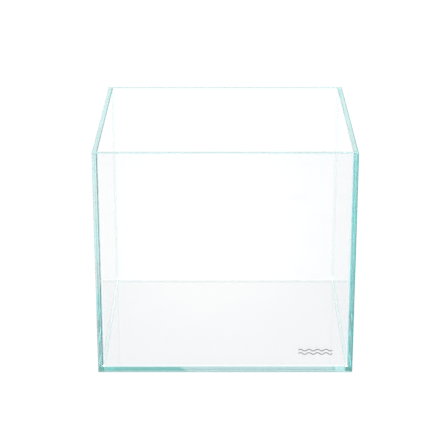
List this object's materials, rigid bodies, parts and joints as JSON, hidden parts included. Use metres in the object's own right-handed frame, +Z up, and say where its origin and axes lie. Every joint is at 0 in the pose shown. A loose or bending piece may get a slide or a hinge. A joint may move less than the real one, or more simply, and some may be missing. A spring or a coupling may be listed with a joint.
{
  "type": "glass aquarium tank",
  "caption": "Open rimless rectangular tank of clear glass panes bonded edge to edge with clear silicone beads, with pale aqua polished edges.",
  "frame": {"origin": "under the middle of the tank, on the surface that it stands on", "axes": "+Z up, -Y out of the front pane, +X to the right as seen from the front"},
  "size_m": [0.3, 0.277, 0.272],
  "materials": {
    "glass": "clear low-iron plate glass, polished edges",
    "silicone": "translucent clear silicone, satin",
    "mark_print": "matte grey print"
  },
  "bodies": {
    "root": {"base_glass": "glass", "front_glass": "glass", "rear_glass": "glass", "left_glass": "glass", "right_glass": "glass", "bond_front_left": "silicone", "bond_front_right": "silicone", "bond_rear_left": "silicone", "bond_rear_right": "silicone", "bond_base_front": "silicone", "bond_base_rear": "silicone", "bond_base_left": "silicone", "bond_base_right": "silicone", "bead_front_left": "silicone", "bead_front_right": "silicone", "bead_rear_left": "silicone", "bead_rear_right": "silicone", "bead_base_front": "silicone", "bead_base_rear": "silicone", "bead_base_left": "silicone", "bead_base_right": "silicone", "printed_mark": "mark_print"}
  },
  "joints": []
}
